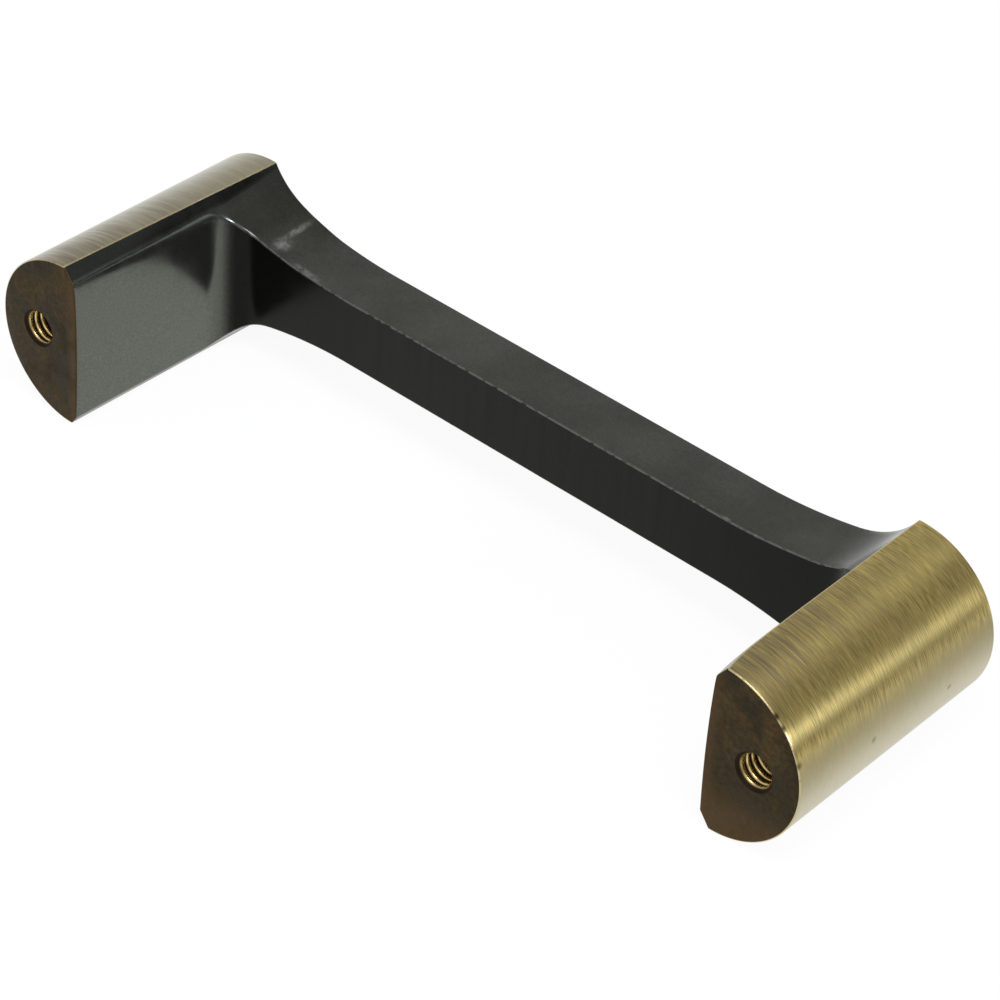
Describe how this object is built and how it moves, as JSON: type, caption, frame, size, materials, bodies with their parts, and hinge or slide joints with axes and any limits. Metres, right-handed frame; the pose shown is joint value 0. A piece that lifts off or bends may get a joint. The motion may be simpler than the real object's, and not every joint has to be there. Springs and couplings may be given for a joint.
{
  "type": "cabinet handle",
  "caption": "One-piece bridge pull with half-round legs, a slim flared bar and a blind threaded hole in the foot of each leg.",
  "frame": {"origin": "on the mounting plane, midway between the two screw holes", "axes": "+X along the bar from one leg to the other, +Y from the mounting plane out to the grip, +Z across the bar, up as on a drawer front"},
  "size_m": [0.1064, 0.03, 0.0196],
  "materials": {
    "antique_brass": "brushed antique brass on the outer faces, dark bronzed semi-gloss on the inner faces, mottled brown feet"
  },
  "bodies": {
    "root": {"handle": "antique_brass"}
  },
  "joints": []
}
